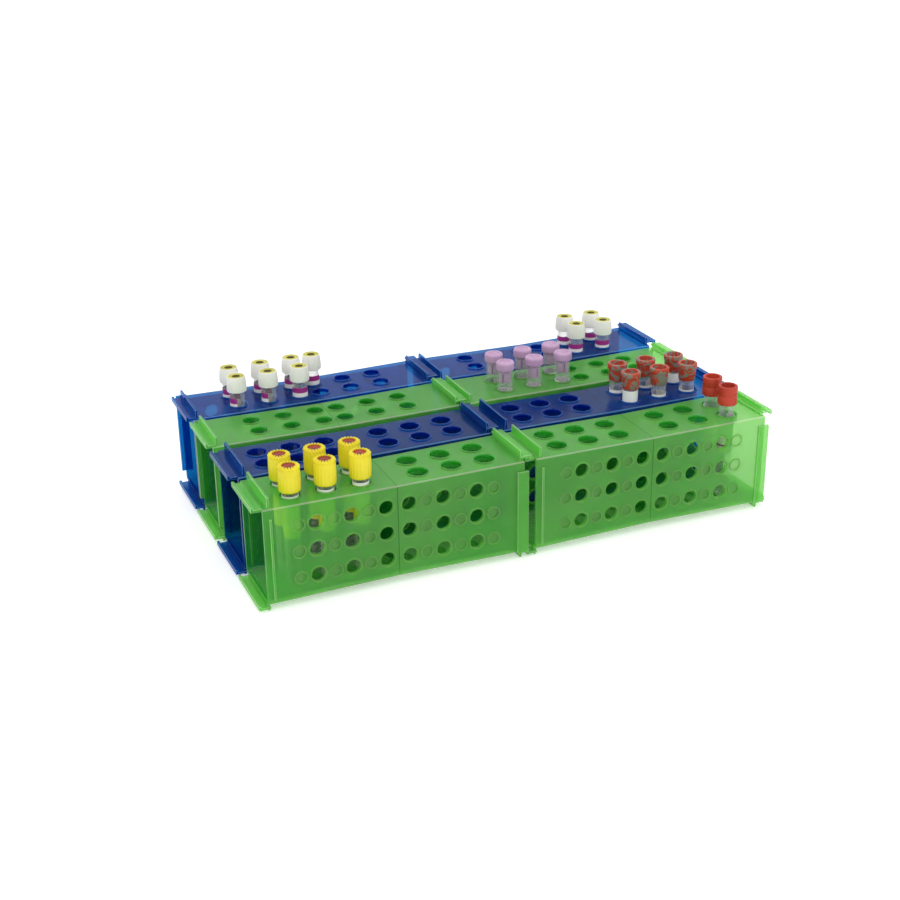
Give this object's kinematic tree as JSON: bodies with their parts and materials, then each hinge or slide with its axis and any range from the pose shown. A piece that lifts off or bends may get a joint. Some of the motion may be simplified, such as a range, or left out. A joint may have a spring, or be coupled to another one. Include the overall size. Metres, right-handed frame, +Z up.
{
  "type": "four-way tube rack",
  "caption": "Open-ended moulded racks that hook end to end and stand side by side, holding stoppered tubes upright in round holes.",
  "frame": {"origin": "under the middle of the set, on the surface it stands on", "axes": "+X along the racks from left to right, +Y from the front row to the back row, +Z up"},
  "size_m": [0.4584, 0.2578, 0.1165],
  "materials": {
    "green_plastic": "translucent green polypropylene, moulded",
    "blue_plastic": "translucent deep blue polypropylene, moulded",
    "tube_glass": "clear tube",
    "yellow_cap": "ribbed yellow cap with a dark red centre",
    "red_cap": "plain red cap",
    "marbled_stopper": "red and grey marbled rubber",
    "lilac_stopper": "lilac rubber",
    "white_cap": "ribbed white cap with an olive ring, on a clear tube"
  },
  "bodies": {
    "front_right_rack": {"front_right_rack": "green_plastic"},
    "front_left_rack": {"front_left_rack": "green_plastic"},
    "third_right_rack": {"third_right_rack": "blue_plastic"},
    "third_left_rack": {"third_left_rack": "blue_plastic"},
    "second_right_rack": {"second_right_rack": "green_plastic"},
    "second_left_rack": {"second_left_rack": "green_plastic"},
    "back_right_rack": {"back_right_rack": "blue_plastic"},
    "back_left_rack": {"back_left_rack": "blue_plastic"},
    "yellow_tube_1": {"yellow_tube_1": "tube_glass"},
    "yellow_cap_1": {"yellow_cap_1": "yellow_cap"},
    "yellow_tube_2": {"yellow_tube_2": "tube_glass"},
    "yellow_cap_2": {"yellow_cap_2": "yellow_cap"},
    "yellow_tube_3": {"yellow_tube_3": "tube_glass"},
    "yellow_cap_3": {"yellow_cap_3": "yellow_cap"},
    "yellow_tube_4": {"yellow_tube_4": "tube_glass"},
    "yellow_cap_4": {"yellow_cap_4": "yellow_cap"},
    "yellow_tube_5": {"yellow_tube_5": "tube_glass"},
    "yellow_cap_5": {"yellow_cap_5": "yellow_cap"},
    "yellow_tube_6": {"yellow_tube_6": "tube_glass"},
    "yellow_cap_6": {"yellow_cap_6": "yellow_cap"},
    "red_tube_1": {"red_tube_1": "tube_glass"},
    "red_cap_1": {"red_cap_1": "red_cap"},
    "red_tube_2": {"red_tube_2": "tube_glass"},
    "red_cap_2": {"red_cap_2": "red_cap"},
    "marbled_tube_1": {"marbled_tube_1": "tube_glass"},
    "marbled_stopper_1": {"marbled_stopper_1": "marbled_stopper"},
    "marbled_tube_2": {"marbled_tube_2": "tube_glass"},
    "marbled_stopper_2": {"marbled_stopper_2": "marbled_stopper"},
    "marbled_tube_3": {"marbled_tube_3": "tube_glass"},
    "marbled_stopper_3": {"marbled_stopper_3": "marbled_stopper"},
    "marbled_tube_4": {"marbled_tube_4": "tube_glass"},
    "marbled_stopper_4": {"marbled_stopper_4": "marbled_stopper"},
    "marbled_tube_5": {"marbled_tube_5": "tube_glass"},
    "marbled_stopper_5": {"marbled_stopper_5": "marbled_stopper"},
    "marbled_tube_6": {"marbled_tube_6": "tube_glass"},
    "marbled_stopper_6": {"marbled_stopper_6": "marbled_stopper"},
    "lilac_tube_1": {"lilac_tube_1": "tube_glass"},
    "lilac_stopper_1": {"lilac_stopper_1": "lilac_stopper"},
    "lilac_tube_2": {"lilac_tube_2": "tube_glass"},
    "lilac_stopper_2": {"lilac_stopper_2": "lilac_stopper"},
    "lilac_tube_3": {"lilac_tube_3": "tube_glass"},
    "lilac_stopper_3": {"lilac_stopper_3": "lilac_stopper"},
    "lilac_tube_4": {"lilac_tube_4": "tube_glass"},
    "lilac_stopper_4": {"lilac_stopper_4": "lilac_stopper"},
    "lilac_tube_5": {"lilac_tube_5": "tube_glass"},
    "lilac_stopper_5": {"lilac_stopper_5": "lilac_stopper"},
    "lilac_tube_6": {"lilac_tube_6": "tube_glass"},
    "lilac_stopper_6": {"lilac_stopper_6": "lilac_stopper"},
    "white_capped_tube_1": {"white_capped_tube_1": "white_cap"},
    "white_capped_tube_2": {"white_capped_tube_2": "white_cap"},
    "white_capped_tube_3": {"white_capped_tube_3": "white_cap"},
    "white_capped_tube_4": {"white_capped_tube_4": "white_cap"},
    "white_capped_tube_5": {"white_capped_tube_5": "white_cap"},
    "white_capped_tube_6": {"white_capped_tube_6": "white_cap"},
    "white_capped_tube_7": {"white_capped_tube_7": "white_cap"},
    "white_capped_tube_8": {"white_capped_tube_8": "white_cap"},
    "white_capped_tube_9": {"white_capped_tube_9": "white_cap"},
    "white_capped_tube_10": {"white_capped_tube_10": "white_cap"},
    "white_capped_tube_11": {"white_capped_tube_11": "white_cap"}
  },
  "joints": [
    {"name": "third_right_lift", "type": "slide", "parent": "front_right_rack", "child": "third_right_rack", "axis": [0, 0, 1], "range_m": [0, 0.12]},
    {"name": "second_right_lift", "type": "slide", "parent": "front_right_rack", "child": "second_right_rack", "axis": [0, 0, 1], "range_m": [0, 0.12]},
    {"name": "back_right_lift", "type": "slide", "parent": "front_right_rack", "child": "back_right_rack", "axis": [0, 0, 1], "range_m": [0, 0.12]},
    {"name": "front_left_unhook", "type": "slide", "parent": "front_right_rack", "child": "front_left_rack", "axis": [0, 0, 1], "range_m": [0, 0.03]},
    {"name": "third_left_unhook", "type": "slide", "parent": "third_right_rack", "child": "third_left_rack", "axis": [0, 0, 1], "range_m": [0, 0.03]},
    {"name": "second_left_unhook", "type": "slide", "parent": "second_right_rack", "child": "second_left_rack", "axis": [0, 0, 1], "range_m": [0, 0.03]},
    {"name": "back_left_unhook", "type": "slide", "parent": "back_right_rack", "child": "back_left_rack", "axis": [0, 0, 1], "range_m": [0, 0.03]},
    {"name": "yellow_tube_1_lift", "type": "slide", "parent": "front_left_rack", "child": "yellow_tube_1", "axis": [0, 0, 1], "range_m": [0, 0.11]},
    {"name": "yellow_cap_1_pull", "type": "slide", "parent": "yellow_tube_1", "child": "yellow_cap_1", "axis": [0, 0, 1], "range_m": [0, 0.03]},
    {"name": "yellow_tube_2_lift", "type": "slide", "parent": "front_left_rack", "child": "yellow_tube_2", "axis": [0, 0, 1], "range_m": [0, 0.11]},
    {"name": "yellow_cap_2_pull", "type": "slide", "parent": "yellow_tube_2", "child": "yellow_cap_2", "axis": [0, 0, 1], "range_m": [0, 0.03]},
    {"name": "yellow_tube_3_lift", "type": "slide", "parent": "front_left_rack", "child": "yellow_tube_3", "axis": [0, 0, 1], "range_m": [0, 0.11]},
    {"name": "yellow_cap_3_pull", "type": "slide", "parent": "yellow_tube_3", "child": "yellow_cap_3", "axis": [0, 0, 1], "range_m": [0, 0.03]},
    {"name": "yellow_tube_4_lift", "type": "slide", "parent": "front_left_rack", "child": "yellow_tube_4", "axis": [0, 0, 1], "range_m": [0, 0.11]},
    {"name": "yellow_cap_4_pull", "type": "slide", "parent": "yellow_tube_4", "child": "yellow_cap_4", "axis": [0, 0, 1], "range_m": [0, 0.03]},
    {"name": "yellow_tube_5_lift", "type": "slide", "parent": "front_left_rack", "child": "yellow_tube_5", "axis": [0, 0, 1], "range_m": [0, 0.11]},
    {"name": "yellow_cap_5_pull", "type": "slide", "parent": "yellow_tube_5", "child": "yellow_cap_5", "axis": [0, 0, 1], "range_m": [0, 0.03]},
    {"name": "yellow_tube_6_lift", "type": "slide", "parent": "front_left_rack", "child": "yellow_tube_6", "axis": [0, 0, 1], "range_m": [0, 0.11]},
    {"name": "yellow_cap_6_pull", "type": "slide", "parent": "yellow_tube_6", "child": "yellow_cap_6", "axis": [0, 0, 1], "range_m": [0, 0.03]},
    {"name": "red_tube_1_lift", "type": "slide", "parent": "front_right_rack", "child": "red_tube_1", "axis": [0, 0, 1], "range_m": [0, 0.11]},
    {"name": "red_cap_1_pull", "type": "slide", "parent": "red_tube_1", "child": "red_cap_1", "axis": [0, 0, 1], "range_m": [0, 0.03]},
    {"name": "red_tube_2_lift", "type": "slide", "parent": "front_right_rack", "child": "red_tube_2", "axis": [0, 0, 1], "range_m": [0, 0.11]},
    {"name": "red_cap_2_pull", "type": "slide", "parent": "red_tube_2", "child": "red_cap_2", "axis": [0, 0, 1], "range_m": [0, 0.03]},
    {"name": "marbled_tube_1_lift", "type": "slide", "parent": "third_right_rack", "child": "marbled_tube_1", "axis": [0, 0, 1], "range_m": [0, 0.11]},
    {"name": "marbled_stopper_1_pull", "type": "slide", "parent": "marbled_tube_1", "child": "marbled_stopper_1", "axis": [0, 0, 1], "range_m": [0, 0.03]},
    {"name": "marbled_tube_2_lift", "type": "slide", "parent": "third_right_rack", "child": "marbled_tube_2", "axis": [0, 0, 1], "range_m": [0, 0.11]},
    {"name": "marbled_stopper_2_pull", "type": "slide", "parent": "marbled_tube_2", "child": "marbled_stopper_2", "axis": [0, 0, 1], "range_m": [0, 0.03]},
    {"name": "marbled_tube_3_lift", "type": "slide", "parent": "third_right_rack", "child": "marbled_tube_3", "axis": [0, 0, 1], "range_m": [0, 0.11]},
    {"name": "marbled_stopper_3_pull", "type": "slide", "parent": "marbled_tube_3", "child": "marbled_stopper_3", "axis": [0, 0, 1], "range_m": [0, 0.03]},
    {"name": "marbled_tube_4_lift", "type": "slide", "parent": "third_right_rack", "child": "marbled_tube_4", "axis": [0, 0, 1], "range_m": [0, 0.11]},
    {"name": "marbled_stopper_4_pull", "type": "slide", "parent": "marbled_tube_4", "child": "marbled_stopper_4", "axis": [0, 0, 1], "range_m": [0, 0.03]},
    {"name": "marbled_tube_5_lift", "type": "slide", "parent": "third_right_rack", "child": "marbled_tube_5", "axis": [0, 0, 1], "range_m": [0, 0.11]},
    {"name": "marbled_stopper_5_pull", "type": "slide", "parent": "marbled_tube_5", "child": "marbled_stopper_5", "axis": [0, 0, 1], "range_m": [0, 0.03]},
    {"name": "marbled_tube_6_lift", "type": "slide", "parent": "third_right_rack", "child": "marbled_tube_6", "axis": [0, 0, 1], "range_m": [0, 0.11]},
    {"name": "marbled_stopper_6_pull", "type": "slide", "parent": "marbled_tube_6", "child": "marbled_stopper_6", "axis": [0, 0, 1], "range_m": [0, 0.03]},
    {"name": "lilac_tube_1_lift", "type": "slide", "parent": "second_right_rack", "child": "lilac_tube_1", "axis": [0, 0, 1], "range_m": [0, 0.11]},
    {"name": "lilac_stopper_1_pull", "type": "slide", "parent": "lilac_tube_1", "child": "lilac_stopper_1", "axis": [0, 0, 1], "range_m": [0, 0.03]},
    {"name": "lilac_tube_2_lift", "type": "slide", "parent": "second_right_rack", "child": "lilac_tube_2", "axis": [0, 0, 1], "range_m": [0, 0.11]},
    {"name": "lilac_stopper_2_pull", "type": "slide", "parent": "lilac_tube_2", "child": "lilac_stopper_2", "axis": [0, 0, 1], "range_m": [0, 0.03]},
    {"name": "lilac_tube_3_lift", "type": "slide", "parent": "second_right_rack", "child": "lilac_tube_3", "axis": [0, 0, 1], "range_m": [0, 0.11]},
    {"name": "lilac_stopper_3_pull", "type": "slide", "parent": "lilac_tube_3", "child": "lilac_stopper_3", "axis": [0, 0, 1], "range_m": [0, 0.03]},
    {"name": "lilac_tube_4_lift", "type": "slide", "parent": "second_right_rack", "child": "lilac_tube_4", "axis": [0, 0, 1], "range_m": [0, 0.11]},
    {"name": "lilac_stopper_4_pull", "type": "slide", "parent": "lilac_tube_4", "child": "lilac_stopper_4", "axis": [0, 0, 1], "range_m": [0, 0.03]},
    {"name": "lilac_tube_5_lift", "type": "slide", "parent": "second_right_rack", "child": "lilac_tube_5", "axis": [0, 0, 1], "range_m": [0, 0.11]},
    {"name": "lilac_stopper_5_pull", "type": "slide", "parent": "lilac_tube_5", "child": "lilac_stopper_5", "axis": [0, 0, 1], "range_m": [0, 0.03]},
    {"name": "lilac_tube_6_lift", "type": "slide", "parent": "second_right_rack", "child": "lilac_tube_6", "axis": [0, 0, 1], "range_m": [0, 0.11]},
    {"name": "lilac_stopper_6_pull", "type": "slide", "parent": "lilac_tube_6", "child": "lilac_stopper_6", "axis": [0, 0, 1], "range_m": [0, 0.03]},
    {"name": "white_capped_tube_1_lift", "type": "slide", "parent": "back_left_rack", "child": "white_capped_tube_1", "axis": [0, 0, 1], "range_m": [0, 0.11]},
    {"name": "white_capped_tube_2_lift", "type": "slide", "parent": "back_left_rack", "child": "white_capped_tube_2", "axis": [0, 0, 1], "range_m": [0, 0.11]},
    {"name": "white_capped_tube_3_lift", "type": "slide", "parent": "back_left_rack", "child": "white_capped_tube_3", "axis": [0, 0, 1], "range_m": [0, 0.11]},
    {"name": "white_capped_tube_4_lift", "type": "slide", "parent": "back_left_rack", "child": "white_capped_tube_4", "axis": [0, 0, 1], "range_m": [0, 0.11]},
    {"name": "white_capped_tube_5_lift", "type": "slide", "parent": "back_left_rack", "child": "white_capped_tube_5", "axis": [0, 0, 1], "range_m": [0, 0.11]},
    {"name": "white_capped_tube_6_lift", "type": "slide", "parent": "back_left_rack", "child": "white_capped_tube_6", "axis": [0, 0, 1], "range_m": [0, 0.11]},
    {"name": "white_capped_tube_7_lift", "type": "slide", "parent": "back_left_rack", "child": "white_capped_tube_7", "axis": [0, 0, 1], "range_m": [0, 0.11]},
    {"name": "white_capped_tube_8_lift", "type": "slide", "parent": "back_right_rack", "child": "white_capped_tube_8", "axis": [0, 0, 1], "range_m": [0, 0.11]},
    {"name": "white_capped_tube_9_lift", "type": "slide", "parent": "back_right_rack", "child": "white_capped_tube_9", "axis": [0, 0, 1], "range_m": [0, 0.11]},
    {"name": "white_capped_tube_10_lift", "type": "slide", "parent": "back_right_rack", "child": "white_capped_tube_10", "axis": [0, 0, 1], "range_m": [0, 0.11]},
    {"name": "white_capped_tube_11_lift", "type": "slide", "parent": "back_right_rack", "child": "white_capped_tube_11", "axis": [0, 0, 1], "range_m": [0, 0.11]}
  ]
}
